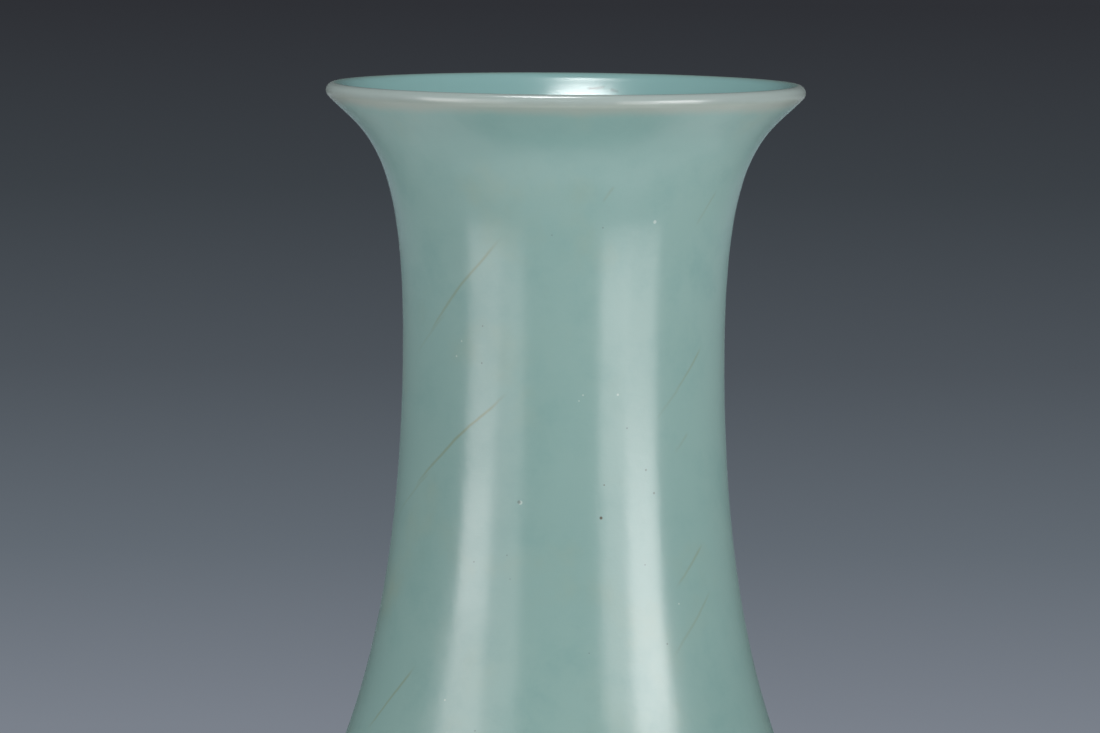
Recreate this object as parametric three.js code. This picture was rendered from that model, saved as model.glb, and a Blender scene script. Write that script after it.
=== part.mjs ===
// A long-necked porcelain vase with a trumpet mouth, as it is built up in the workshop.
// Three thrown sections and a foot ring are luted together with slip, and a celadon glaze
// covers the outside, the lip, the inside and the recess under the base.
// Millimetres, +Z up, origin at the centre of the flat ring that the vase stands on.
import * as THREE from 'three';

// ---- Overall form -------------------------------------------------------------------------
const OVERALL_HEIGHT = 352;
const MOUTH_RADIUS = 55;
const LIP_THICKNESS = 3.6;
const LIP_LEAN = 44; // degrees from vertical of the wall where it leaves the rounded lip
const WAIST_RADIUS = 37;
const WAIST_DROP = 60; // from the lip's crest down to the narrowest place of the neck
const BELLY_RADIUS = 106;
const BELLY_HEIGHT = 106;
const FOOT_NECK_RADIUS = 59;
const FOOT_HEIGHT = 18; // from the ground to the underside of the base
const FOOT_RADIUS = 66;
const FOOT_SPLAY = 24; // degrees from vertical of the foot just above its toe
const TOE_HEIGHT = 2.2;

// ---- Easing of the outline: how far each curve follows its end direction, as a share of
// the height between the two places that it joins ------------------------------------------
const LIP_EASE = 0.2;
const WAIST_EASE_UP = 0.82;
const WAIST_EASE_DOWN = 0.805;
const BELLY_EASE_UP = 0.284;
const BELLY_EASE_DOWN = 0.5;
const FOOT_NECK_EASE_UP = 0.15;
const FOOT_NECK_EASE_DOWN = 0.5;
const TOE_EASE = 0.25;

// ---- Walls, glaze and seams ---------------------------------------------------------------
const WAIST_WALL = 4.4; // wall thicknesses are overall, with the glaze on both faces
const BELLY_WALL = 5.4;
const FLOOR_THICKNESS = 7;
const FLOOR_START = 0.5; // where the inside leaves the outline's curve below the belly, 0 to 1
const FLOOR_FLATNESS = 0.62; // share of the floor's radius that stays nearly level
const FLOOR_CORNER_EASE = 0.28;
const OUTER_GLAZE = 0.8;
const INNER_GLAZE = 0.6;
const LIP_GLAZE = 0.35; // melting glaze runs off the lip, so it is thin there
const GLAZE_RUN = 10; // height below the lip over which the glaze comes up to its full thickness
const BASE_GLAZE = 0.6;
const GLAZE_LINE = 3.2; // height of the glaze's lower edge above the ground, on the foot
const NECK_LENGTH = 156; // from the lip's crest down to the seam under the neck
const SLIP_THICKNESS = 0.4;
const BOND_GAP = 0.05; // clearance kept between any two solids that are fired together

// ---- Foot ring ----------------------------------------------------------------------------
const LAND_WIDTH = 4.5; // the flat ring that meets the ground
const TOE_ROUND = 1.8;
const LAND_CHAMFER = 0.9;
const FOOT_WALL = 5.5; // at the top of the foot ring, with the glaze on both faces
const RECESS_FILLET = 2.4;

// ---- Facets -------------------------------------------------------------------------------
const AROUND = 40;
const LIP_STEPS = 2; // for each of the lip's three arcs
const FLARE_STEPS = 6;
const NECK_STEPS = 9;
const BELLY_STEPS = 8;
const FOOT_STEPS = 3;
const FLOOR_STEPS = 5;
const ROUND_STEPS = 3;

// ---- Materials ----------------------------------------------------------------------------
const CELADON = 0x8fb8b0;
const CELADON_INSIDE = 0x8cbab4;
const PALE_LIP = 0xb3b9b0;
const BISCUIT = 0xd9d2c4;
const LUTING_SLIP = 0xe4dfd4;

const point = (r, z) => new THREE.Vector2(r, z);
const radians = THREE.MathUtils.degToRad;
const lipCentre = point(MOUTH_RADIUS - LIP_THICKNESS / 2, OVERALL_HEIGHT - LIP_THICKNESS / 2);
const waistHeight = OVERALL_HEIGHT - WAIST_DROP;
const neckSeamHeight = OVERALL_HEIGHT - NECK_LENGTH;
const bellySeamHeight = BELLY_HEIGHT;
const seamHalf = SLIP_THICKNESS / 2 + BOND_GAP;

function glazeMaterial(colour) {
  return new THREE.MeshStandardMaterial({ color: colour, roughness: 0.28, metalness: 0 });
}

function biscuitMaterial(colour) {
  return new THREE.MeshStandardMaterial({ color: colour, roughness: 0.8, metalness: 0 });
}

// ---- Profiles -----------------------------------------------------------------------------

// Samples of a curve that runs down a wall: each has its point and the direction into the wall,
// which is to the right of the curve for an outside surface and to its left for an inside one.
function samplesOf(curve, steps, side) {
  const samples = [];
  for (let i = 0; i <= steps; i++) {
    const along = curve.getTangent(i / steps);
    const into = side === 'outside' ? point(along.y, -along.x) : point(-along.y, along.x);
    samples.push({ point: curve.getPoint(i / steps), into });
  }
  return samples;
}

// Joins lists of samples that meet end to end, keeping each shared end once.
function joined(...lists) {
  return lists.flatMap((list, i) => (i === 0 ? list : list.slice(1)));
}

// A cubic curve from one place to another, leaving and arriving in the given directions.
function easedCurve(from, fromDirection, fromEase, to, toDirection, toEase) {
  const height = from.y - to.y;
  return new THREE.CubicBezierCurve(
    from,
    from.clone().addScaledVector(fromDirection, fromEase * height),
    to.clone().addScaledVector(toDirection, -toEase * height),
    to,
  );
}

const down = point(0, -1);
const lipDirection = point(-Math.sin(radians(LIP_LEAN)), -Math.cos(radians(LIP_LEAN)));
const toeDirection = point(Math.sin(radians(FOOT_SPLAY)), -Math.cos(radians(FOOT_SPLAY)));

function flareCurve() {
  const underLip = point(
    lipCentre.x + (LIP_THICKNESS / 2) * Math.cos(radians(LIP_LEAN)),
    lipCentre.y - (LIP_THICKNESS / 2) * Math.sin(radians(LIP_LEAN)),
  );
  const waist = point(WAIST_RADIUS, waistHeight);
  return easedCurve(underLip, lipDirection, LIP_EASE, waist, down, WAIST_EASE_UP);
}

function neckCurve() {
  const waist = point(WAIST_RADIUS, waistHeight);
  const belly = point(BELLY_RADIUS, BELLY_HEIGHT);
  return easedCurve(waist, down, WAIST_EASE_DOWN, belly, down, BELLY_EASE_UP);
}

function bellyCurve() {
  const belly = point(BELLY_RADIUS, BELLY_HEIGHT);
  const footNeck = point(FOOT_NECK_RADIUS, FOOT_HEIGHT);
  return easedCurve(belly, down, BELLY_EASE_DOWN, footNeck, down, FOOT_NECK_EASE_UP);
}

function footCurve() {
  const footNeck = point(FOOT_NECK_RADIUS, FOOT_HEIGHT);
  const toe = point(FOOT_RADIUS, TOE_HEIGHT);
  return easedCurve(footNeck, down, FOOT_NECK_EASE_DOWN, toe, toeDirection, TOE_EASE);
}

// The finished outside, from under the lip to the toe of the foot.
function outsideSamples() {
  return joined(
    samplesOf(flareCurve(), FLARE_STEPS, 'outside'),
    samplesOf(neckCurve(), NECK_STEPS, 'outside'),
    samplesOf(bellyCurve(), BELLY_STEPS, 'outside'),
    samplesOf(footCurve(), FOOT_STEPS, 'outside'),
  );
}

// Overall wall thickness at a height: thin at the lip, then easing to the neck and the belly.
function wallAt(z) {
  const { smoothstep, lerp } = THREE.MathUtils;
  if (z > waistHeight) {
    return lerp(WAIST_WALL, LIP_THICKNESS, smoothstep(z, waistHeight, lipCentre.y));
  }
  return lerp(BELLY_WALL, WAIST_WALL, smoothstep(z, BELLY_HEIGHT, waistHeight));
}

// The finished inside, from the lip to the centre of the floor. It follows the outside at the
// wall's thickness down to the lower belly, then turns in one curve to the level floor.
function insideSamples() {
  const belly = bellyCurve();
  const steps = Math.round(BELLY_STEPS * FLOOR_START);
  const lowest = steps / BELLY_STEPS;
  const walled = joined(
    samplesOf(flareCurve(), FLARE_STEPS, 'outside'),
    samplesOf(neckCurve(), NECK_STEPS, 'outside'),
    samplesOf(belly, BELLY_STEPS, 'outside').slice(0, steps + 1),
  ).map(({ point: p, into }, i) => ({
    point: p.clone().addScaledVector(into, i === 0 ? LIP_THICKNESS : wallAt(p.y)),
    into: into.clone().negate(),
  }));
  const corner = walled.at(-1).point;
  const floorHeight = FOOT_HEIGHT + FLOOR_THICKNESS;
  const floor = new THREE.CubicBezierCurve(
    corner,
    corner.clone().addScaledVector(belly.getTangent(lowest), FLOOR_CORNER_EASE * corner.x),
    point(FLOOR_FLATNESS * corner.x, floorHeight),
    point(0, floorHeight),
  );
  return joined(walled, samplesOf(floor, FLOOR_STEPS, 'inside'));
}

// The points at a depth below a sampled surface; the depth is a function of the height.
function layer(samples, depthAt) {
  return samples.map(({ point: p, into }) => p.clone().addScaledVector(into, depthAt(p.y)));
}

// Glaze thickness at a height: thin at the lip, full from GLAZE_RUN below it.
function glazeAt(z, full) {
  const { smoothstep, lerp } = THREE.MathUtils;
  return lerp(full, LIP_GLAZE, smoothstep(z, lipCentre.y - GLAZE_RUN, lipCentre.y));
}

// The radius at a height of a profile that runs downwards.
function radiusAt(points, z) {
  const i = points.findIndex((p) => p.y <= z);
  const [above, below] = [points[i - 1], points[i]];
  return THREE.MathUtils.mapLinear(z, above.y, below.y, above.x, below.x);
}

// The stretch of a downward profile between two heights. An omitted end keeps the profile's own.
function stretch(points, { top = Infinity, bottom = -Infinity }) {
  const kept = points.filter((p) => p.y < top - BOND_GAP && p.y > bottom + BOND_GAP);
  if (top !== Infinity) kept.unshift(point(radiusAt(points, top), top));
  if (bottom !== -Infinity) kept.push(point(radiusAt(points, bottom), bottom));
  return kept;
}

// Half circle round the lip from its outside to its inside, set back from each end by an angle.
// It passes exactly through the widest place and the crest.
function lipArc(radius, setBack) {
  const start = -radians(LIP_LEAN) + setBack;
  const end = Math.PI - radians(LIP_LEAN) - setBack;
  const turns = [start, 0, Math.PI / 2, end];
  const angles = [start];
  for (let i = 1; i < turns.length; i++) {
    for (let step = 1; step <= LIP_STEPS; step++) {
      angles.push(THREE.MathUtils.lerp(turns[i - 1], turns[i], step / LIP_STEPS));
    }
  }
  return angles.map((angle) =>
    point(lipCentre.x + radius * Math.cos(angle), lipCentre.y + radius * Math.sin(angle)),
  );
}

// ---- Solids of revolution -----------------------------------------------------------------

function turned(name, profile, material) {
  const geometry = new THREE.LatheGeometry(profile, AROUND).rotateX(Math.PI / 2);
  const mesh = new THREE.Mesh(geometry, material);
  mesh.name = name;
  return mesh;
}

// A solid whose section is a closed loop away from the axis.
function turnedRing(name, loop, material) {
  return turned(name, [...loop, loop[0]], material);
}

const outside = outsideSamples();
const inside = insideSamples();
const outsideSurface = layer(outside, () => 0);
const outerGlazeBack = layer(outside, (z) => glazeAt(z, OUTER_GLAZE));
const bodyOutside = layer(outside, (z) => glazeAt(z, OUTER_GLAZE) + BOND_GAP);
const insideSurface = layer(inside, () => 0);
const innerGlazeBack = layer(inside, (z) => glazeAt(z, INNER_GLAZE));
const bodyInside = layer(inside, (z) => glazeAt(z, INNER_GLAZE) + BOND_GAP);

function outerGlaze() {
  const front = stretch(outsideSurface, { bottom: GLAZE_LINE });
  const back = stretch(outerGlazeBack, { bottom: GLAZE_LINE });
  return turnedRing('outer_glaze', [...front.reverse(), ...back], glazeMaterial(CELADON));
}

function lipGlaze() {
  const setBack = BOND_GAP / (LIP_THICKNESS / 2 - LIP_GLAZE);
  const front = lipArc(LIP_THICKNESS / 2, setBack);
  const back = lipArc(LIP_THICKNESS / 2 - LIP_GLAZE, setBack);
  return turnedRing('lip_glaze', [...front, ...back.reverse()], glazeMaterial(PALE_LIP));
}

function innerGlaze() {
  const profile = [...innerGlazeBack.toReversed(), ...insideSurface];
  return turned('inner_glaze', profile, glazeMaterial(CELADON_INSIDE));
}

function neckSection() {
  const bottom = neckSeamHeight + seamHalf;
  const lip = lipArc(LIP_THICKNESS / 2 - LIP_GLAZE - BOND_GAP, 0).slice(1, -1);
  const front = stretch(bodyOutside, { bottom }).reverse();
  const back = stretch(bodyInside, { bottom });
  return turnedRing('neck_section', [...front, ...lip, ...back], biscuitMaterial(BISCUIT));
}

function shoulderSection() {
  const span = { top: neckSeamHeight - seamHalf, bottom: bellySeamHeight + seamHalf };
  const front = stretch(bodyOutside, span).reverse();
  const back = stretch(bodyInside, span);
  return turnedRing('shoulder_section', [...front, ...back], biscuitMaterial(BISCUIT));
}

function lowerBodySection() {
  const top = bellySeamHeight - seamHalf;
  const front = stretch(bodyOutside, { top, bottom: FOOT_HEIGHT }).reverse();
  const back = stretch(bodyInside, { top });
  const profile = [point(0, FOOT_HEIGHT), ...front, ...back];
  return turned('lower_body_section', profile, biscuitMaterial(BISCUIT));
}

// ---- Foot and recess ----------------------------------------------------------------------

const footTop = FOOT_HEIGHT - SLIP_THICKNESS - 2 * BOND_GAP;
const toe = bodyOutside.at(-1);
const landOuter = toe.x - TOE_ROUND;
const landInner = landOuter - LAND_WIDTH;
const recessInset = BASE_GLAZE + BOND_GAP;
const footInnerTop = FOOT_NECK_RADIUS - FOOT_WALL + recessInset;
const footInnerBottom = landInner - LAND_CHAMFER;

// The radius of the foot ring's inner wall, a plain cone, at a height.
function footInnerAt(z) {
  return THREE.MathUtils.mapLinear(z, LAND_CHAMFER, FOOT_HEIGHT, footInnerBottom, footInnerTop);
}

function footRing() {
  const roundedToe = new THREE.QuadraticBezierCurve(toe, point(toe.x, 0), point(landOuter, 0));
  const profile = [
    ...stretch(bodyOutside, { top: footTop }),
    ...roundedToe.getPoints(ROUND_STEPS).slice(1),
    point(landInner, 0),
    point(footInnerAt(LAND_CHAMFER), LAND_CHAMFER),
    point(footInnerAt(footTop), footTop),
  ];
  return turnedRing('foot_ring', profile.reverse(), biscuitMaterial(BISCUIT));
}

// Glaze in the recess: over the underside of the base and down the foot ring's inner wall.
function baseGlaze() {
  const backHeight = FOOT_HEIGHT - BOND_GAP;
  const faceHeight = backHeight - BASE_GLAZE;
  const wallEnd = faceHeight - RECESS_FILLET;
  const back = [
    point(0, backHeight),
    point(footInnerAt(backHeight) - BOND_GAP, backHeight),
    point(footInnerAt(GLAZE_LINE) - BOND_GAP, GLAZE_LINE),
  ];
  const fillet = new THREE.QuadraticBezierCurve(
    point(footInnerAt(wallEnd) - recessInset, wallEnd),
    point(footInnerAt(faceHeight) - recessInset, faceHeight),
    point(footInnerAt(faceHeight) - recessInset - RECESS_FILLET, faceHeight),
  );
  const face = [
    point(footInnerAt(GLAZE_LINE) - recessInset, GLAZE_LINE),
    ...fillet.getPoints(ROUND_STEPS),
    point(0, faceHeight),
  ];
  return turned('base_glaze', [...back, ...face].reverse(), glazeMaterial(CELADON));
}

// ---- Luting slip --------------------------------------------------------------------------

// A thin flat ring of slip that fills a seam between two heights, through the whole body wall.
function slipRing(name, top, bottom, innerRadiusAt) {
  const loop = [
    point(innerRadiusAt(bottom), bottom),
    point(radiusAt(bodyOutside, bottom), bottom),
    point(radiusAt(bodyOutside, top), top),
    point(innerRadiusAt(top), top),
  ];
  return turnedRing(name, loop, biscuitMaterial(LUTING_SLIP));
}

function wallSeamSlip(name, height) {
  const bodyInsideAt = (z) => radiusAt(bodyInside, z);
  return slipRing(name, height + SLIP_THICKNESS / 2, height - SLIP_THICKNESS / 2, bodyInsideAt);
}

function footSeamSlip() {
  const top = FOOT_HEIGHT - BOND_GAP;
  return slipRing('foot_seam_slip', top, top - SLIP_THICKNESS, footInnerAt);
}

const vase = new THREE.Group();
vase.add(
  neckSection(),
  shoulderSection(),
  lowerBodySection(),
  footRing(),
  wallSeamSlip('neck_seam_slip', neckSeamHeight),
  wallSeamSlip('belly_seam_slip', bellySeamHeight),
  footSeamSlip(),
  outerGlaze(),
  lipGlaze(),
  innerGlaze(),
  baseGlaze(),
);

export default vase;
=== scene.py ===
# The looks of a celadon-glazed porcelain vase: fine surfaces of revolution around the packed
# frame, one continuous glaze coat with its crackle and pinholes, and the bare foot rim.
# Metres, +Z up, the same frame as the CAD model.
import math
import random

import bpy
import numpy as np
from mathutils import Euler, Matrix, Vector


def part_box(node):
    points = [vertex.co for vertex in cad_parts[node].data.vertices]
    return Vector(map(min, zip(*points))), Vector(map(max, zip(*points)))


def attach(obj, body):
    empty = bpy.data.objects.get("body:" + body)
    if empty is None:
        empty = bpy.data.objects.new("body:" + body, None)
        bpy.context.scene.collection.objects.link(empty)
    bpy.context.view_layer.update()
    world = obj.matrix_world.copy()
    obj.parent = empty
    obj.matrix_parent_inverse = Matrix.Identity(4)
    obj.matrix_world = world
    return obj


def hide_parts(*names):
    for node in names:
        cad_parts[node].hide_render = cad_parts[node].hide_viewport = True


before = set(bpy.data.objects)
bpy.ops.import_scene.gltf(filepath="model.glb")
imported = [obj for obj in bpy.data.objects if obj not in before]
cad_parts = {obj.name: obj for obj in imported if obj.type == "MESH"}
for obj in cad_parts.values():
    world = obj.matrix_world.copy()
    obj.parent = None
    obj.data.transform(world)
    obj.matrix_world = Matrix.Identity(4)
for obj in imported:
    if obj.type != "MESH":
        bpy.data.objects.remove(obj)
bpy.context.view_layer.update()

MM = 0.001

# ---- Sizes read from the frame ----------------------------------------------------------------
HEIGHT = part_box("lip_glaze")[1].z
MOUTH_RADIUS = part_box("lip_glaze")[1].x
BELLY_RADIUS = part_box("outer_glaze")[1].x
GLAZE_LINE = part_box("outer_glaze")[0].z
FOOT_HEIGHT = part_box("lower_body_section")[0].z
FOOT_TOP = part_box("foot_ring")[1].z
BELLY_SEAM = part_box("belly_seam_slip")
NECK_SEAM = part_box("neck_seam_slip")
FOOT_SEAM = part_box("foot_seam_slip")
BELLY_HEIGHT = (BELLY_SEAM[0].z + BELLY_SEAM[1].z) / 2
FLOOR_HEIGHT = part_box("inner_glaze")[0].z

# ---- The outline's own values, as in the CAD model --------------------------------------------
LIP_THICKNESS = 3.6 * MM
LIP_LEAN = math.radians(44)
WAIST_RADIUS = 37 * MM
WAIST_HEIGHT = HEIGHT - 60 * MM
FOOT_NECK_RADIUS = 59 * MM
FOOT_RADIUS = 66 * MM
FOOT_SPLAY = math.radians(24)
TOE_HEIGHT = 2.2 * MM
LIP_EASE, WAIST_EASE_UP = 0.2, 0.82
WAIST_EASE_DOWN, BELLY_EASE_UP = 0.805, 0.284
BELLY_EASE_DOWN, FOOT_NECK_EASE_UP = 0.5, 0.15
FOOT_NECK_EASE_DOWN, TOE_EASE = 0.5, 0.25
WAIST_WALL = 4.4 * MM
BELLY_WALL = 5.4 * MM
FLOOR_START = 0.5
FLOOR_FLATNESS = 0.62
FLOOR_CORNER_EASE = 0.28
OUTER_GLAZE = 0.8 * MM
INNER_GLAZE = 0.6 * MM
LIP_GLAZE = 0.35 * MM
GLAZE_RUN = 10 * MM
BASE_GLAZE = 0.6 * MM
BOND_GAP = 0.05 * MM
LAND_WIDTH = 4.5 * MM
TOE_ROUND = 1.8 * MM
LAND_CHAMFER = 0.9 * MM
FOOT_WALL = 5.5 * MM
RECESS_FILLET = 2.4 * MM
INNER_ROLL = 4.4 * MM  # radius of the lip's inner side in the glaze
ROLL_RUN = 22 * MM  # height over which the inner wall comes back to its line
ROLL_CLEAR = 0.3 * MM  # the first sample of the inner wall is at least this far below its roll
GLAZE_EDGE_RUN = 1.6 * MM  # height over which the glaze rounds off at its lower edge

# Samples: round the axis, along the outlines, and on the small rounded corners.
AROUND = 224
AROUND_HIDDEN = 144
FINE = 0.85  # fineness of the visible outlines
COARSE = 0.3  # and of the hidden ones
OUTSIDE_STEPS = (44, 72, 52, 22)  # flare, neck, lower belly and foot at fineness 1
INSIDE_STEPS = (36, 52, 24, 26)  # flare, neck, lower belly and floor
FEWEST_STEPS = 4
LIP_STEPS = 14
SOFT_LIP_STEPS = 20
ROLL_STEPS = 16
CORNER_STEPS = 12
EDGE_STEPS = 6
SHARP_ANGLE = math.radians(50)  # faces that meet at more than this are shaded as an edge

# Hand-throwing: how far the wall leaves a true circle, in mm, and the rings' spacing in metres.
OVAL, THREE_LOBED, THROWING_RINGS = 0.10, 0.05, 0.016
RING_SPACING = 0.0093
STEADY_RADIUS = 20 * MM  # nearer the axis than this the unevenness fades out

lip_centre = np.array([MOUTH_RADIUS - LIP_THICKNESS / 2, HEIGHT - LIP_THICKNESS / 2])
DOWN = np.array([0.0, -1.0])
LIP_DIRECTION = np.array([-math.sin(LIP_LEAN), -math.cos(LIP_LEAN)])
TOE_DIRECTION = np.array([math.sin(FOOT_SPLAY), -math.cos(FOOT_SPLAY)])


# ---- Profiles ---------------------------------------------------------------------------------
# A profile is an array with a row for each sample: radius, height, and the direction into the wall.


def smoothstep(x, low, high):
    t = np.clip((np.asarray(x, float) - low) / (high - low), 0, 1)
    return t * t * (3 - 2 * t)


def mix(a, b, t):
    return a + (b - a) * t


def bezier(p0, p1, p2, p3, steps, side=1, span=(0.0, 1.0)):
    """Samples of a cubic curve; side is 1 where the wall is to its right and -1 to its left."""
    t = np.linspace(*span, steps + 1)[:, None]
    p0, p1, p2, p3 = (np.asarray(p, float) for p in (p0, p1, p2, p3))
    points = p0 * (1 - t) ** 3 + 3 * p1 * (1 - t) ** 2 * t + 3 * p2 * (1 - t) * t**2 + p3 * t**3
    along = (p1 - p0) * (1 - t) ** 2 + 2 * (p2 - p1) * (1 - t) * t + (p3 - p2) * t**2
    along /= np.linalg.norm(along, axis=1)[:, None]
    into = side * np.stack([along[:, 1], -along[:, 0]], axis=1)
    return np.hstack([points, into])


def eased(start, start_direction, start_ease, end, end_direction, end_ease, steps, span=(0.0, 1.0)):
    """A cubic curve down a wall that leaves and arrives in the given directions."""
    height = start[1] - end[1]
    p1 = start + start_direction * start_ease * height
    p2 = end - end_direction * end_ease * height
    return bezier(start, p1, p2, end, steps, span=span)


def joined(*parts):
    return np.vstack([parts[0], *(p[1:] for p in parts[1:])])


under_lip = lip_centre + LIP_THICKNESS / 2 * np.array([math.cos(LIP_LEAN), -math.sin(LIP_LEAN)])
waist = np.array([WAIST_RADIUS, WAIST_HEIGHT])
belly = np.array([BELLY_RADIUS, BELLY_HEIGHT])
foot_neck = np.array([FOOT_NECK_RADIUS, FOOT_HEIGHT])
toe = np.array([FOOT_RADIUS, TOE_HEIGHT])


def flare(steps):
    return eased(under_lip, LIP_DIRECTION, LIP_EASE, waist, DOWN, WAIST_EASE_UP, steps)


def neck(steps):
    return eased(waist, DOWN, WAIST_EASE_DOWN, belly, DOWN, BELLY_EASE_UP, steps)


def lower_belly(steps, span=(0.0, 1.0)):
    ends = (belly, DOWN, BELLY_EASE_DOWN, foot_neck, DOWN, FOOT_NECK_EASE_UP)
    return eased(*ends, steps, span=span)


def foot(steps):
    return eased(foot_neck, DOWN, FOOT_NECK_EASE_DOWN, toe, TOE_DIRECTION, TOE_EASE, steps)


def scaled(counts, fineness):
    return [max(FEWEST_STEPS, round(count * fineness)) for count in counts]


def outside(fineness):
    """The finished outside, from under the lip to the toe of the foot."""
    flare_steps, neck_steps, belly_steps, foot_steps = scaled(OUTSIDE_STEPS, fineness)
    return joined(flare(flare_steps), neck(neck_steps), lower_belly(belly_steps), foot(foot_steps))


def wall_at(z):
    above = mix(WAIST_WALL, LIP_THICKNESS, smoothstep(z, WAIST_HEIGHT, lip_centre[1]))
    below = mix(BELLY_WALL, WAIST_WALL, smoothstep(z, BELLY_HEIGHT, WAIST_HEIGHT))
    return np.where(z > WAIST_HEIGHT, above, below)


def inside(fineness):
    """The finished inside, from the lip to the centre of the floor."""
    flare_steps, neck_steps, belly_steps, floor_steps = scaled(INSIDE_STEPS, fineness)
    belly_wall = lower_belly(belly_steps, span=(0, FLOOR_START))
    wall = joined(flare(flare_steps), neck(neck_steps), belly_wall)
    thickness = wall_at(wall[:, 1])
    thickness[0] = LIP_THICKNESS
    wall = np.hstack([wall[:, :2] + wall[:, 2:] * thickness[:, None], -wall[:, 2:]])
    corner = wall[-1, :2]
    heading = np.array([wall[-1, 3], -wall[-1, 2]])
    floor = bezier(
        corner,
        corner + heading * FLOOR_CORNER_EASE * corner[0],
        (FLOOR_FLATNESS * corner[0], FLOOR_HEIGHT + INNER_GLAZE),
        (0, FLOOR_HEIGHT + INNER_GLAZE),
        floor_steps,
        side=-1,
    )
    return joined(wall, floor)


def glaze_at(z, full):
    return mix(full, LIP_GLAZE, smoothstep(z, lip_centre[1] - GLAZE_RUN, lip_centre[1]))


def layer(profile, depth):
    """Points at a depth below a profile: a number, or one for each sample."""
    depth = np.broadcast_to(np.asarray(depth, float), len(profile))
    return profile[:, :2] + profile[:, 2:] * depth[:, None]


def radius_at(points, z):
    order = np.argsort(points[:, 1])
    return float(np.interp(z, points[order, 1], points[order, 0]))


def stretch(points, top=None, bottom=None):
    """The part of a downward line of points between two heights, with its ends on them."""
    keep = np.ones(len(points), bool)
    if top is not None:
        keep &= points[:, 1] < top - BOND_GAP
    if bottom is not None:
        keep &= points[:, 1] > bottom + BOND_GAP
    rows = [points[keep]]
    if top is not None:
        rows.insert(0, [[radius_at(points, top), top]])
    if bottom is not None:
        rows.append([[radius_at(points, bottom), bottom]])
    return np.vstack(rows)


def arc(centre, radius, angles):
    return centre + radius * np.stack([np.cos(angles), np.sin(angles)], axis=1)


def lip_arc(radius):
    """Half circle round the lip, from its outside to its inside, without its two ends."""
    angles = np.linspace(-LIP_LEAN, math.pi - LIP_LEAN, LIP_STEPS + 1)[1:-1]
    return arc(lip_centre, radius, angles)


def soft_lip(wall):
    """The glazed lip and inside: round outside, and rolled over more gently on its inner side."""
    outer_angles = np.linspace(-LIP_LEAN, math.pi / 2, SOFT_LIP_STEPS)[1:]
    outer_side = arc(lip_centre, LIP_THICKNESS / 2, outer_angles)
    roll_centre = np.array([lip_centre[0], HEIGHT - INNER_ROLL])
    roll_angles = np.linspace(math.pi / 2, math.pi - LIP_LEAN, ROLL_STEPS)[1:]
    roll = arc(roll_centre, INNER_ROLL, roll_angles)
    # The wall's first stretch, and the place on its line that is nearest to the roll's end.
    top = wall[0, :2]
    down = wall[1, :2] - top
    start = top + down * ((roll[-1] - top) @ down) / np.linalg.norm(down) ** 2
    proud = np.linalg.norm(roll[-1] - start)
    below = wall[wall[:, 1] < start[1] - ROLL_CLEAR]
    swell = proud * (1 - smoothstep(-below[:, 1], -start[1], -start[1] + ROLL_RUN))
    return np.vstack([outer_side, roll, layer(below, -swell)])


outer = outside(FINE)
inner = inside(FINE)
coarse_out = outside(COARSE)
coarse_in = inside(COARSE)
body_out = layer(coarse_out, glaze_at(coarse_out[:, 1], OUTER_GLAZE) + BOND_GAP)
body_in = layer(coarse_in, glaze_at(coarse_in[:, 1], INNER_GLAZE) + BOND_GAP)


# ---- Solids of revolution ---------------------------------------------------------------------


def wobble(angle, z):
    """How far the wall leaves a true circle: a hand-thrown pot is never quite round."""
    oval = OVAL * np.sin(2 * angle + 0.7 + 6 * z)
    lobes = THREE_LOBED * np.sin(3 * angle + 2.1 - 14 * z)
    rings = THROWING_RINGS * np.sin(z * 2 * math.pi / RING_SPACING + 0.4 * np.sin(angle))
    return (oval + lobes + rings) * MM


def turned(name, line, around=AROUND):
    """A closed solid from a line of points (radius, height).

    The line starts and ends on the axis, or its last point joins its first. Two neighbours on the
    axis have no face between them.
    """
    line = np.asarray(line, float)
    on_axis = line[:, 0] < 1e-9
    angles = np.arange(around) * 2 * math.pi / around
    vertices, first = [], []
    for (r, z), axial in zip(line, on_axis):
        first.append(len(vertices))
        if axial:
            vertices.append((0.0, 0.0, z))
            continue
        radii = r + wobble(angles, z) * min(1.0, r / STEADY_RADIUS)
        vertices.extend(zip(radii * np.sin(angles), -radii * np.cos(angles), np.full(around, z)))
    faces = []
    closed = not (on_axis[0] and on_axis[-1])
    count = len(line)
    for i in range(count if closed else count - 1):
        j = (i + 1) % count
        if on_axis[i] and on_axis[j]:
            continue
        a, b = first[i], first[j]
        for k in range(around):
            m = (k + 1) % around
            if on_axis[i]:
                faces.append((a, b + m, b + k))
            elif on_axis[j]:
                faces.append((a + k, a + m, b))
            else:
                faces.append((a + k, a + m, b + m, b + k))
    mesh = bpy.data.meshes.new(name)
    mesh.from_pydata([tuple(map(float, v)) for v in vertices], [], faces)
    mesh.update()
    mesh.shade_smooth()
    mesh.set_sharp_from_angle(angle=SHARP_ANGLE)
    piece = bpy.data.objects.new(name, mesh)
    bpy.context.scene.collection.objects.link(piece)
    return piece


def place(piece, material, slot, *nodes):
    """Gives a piece its material and ties it to the frame."""
    piece.data.materials.append(material)
    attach(piece, "root")
    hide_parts(*nodes)
    return piece


# ---- Node helpers -----------------------------------------------------------------------------


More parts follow.
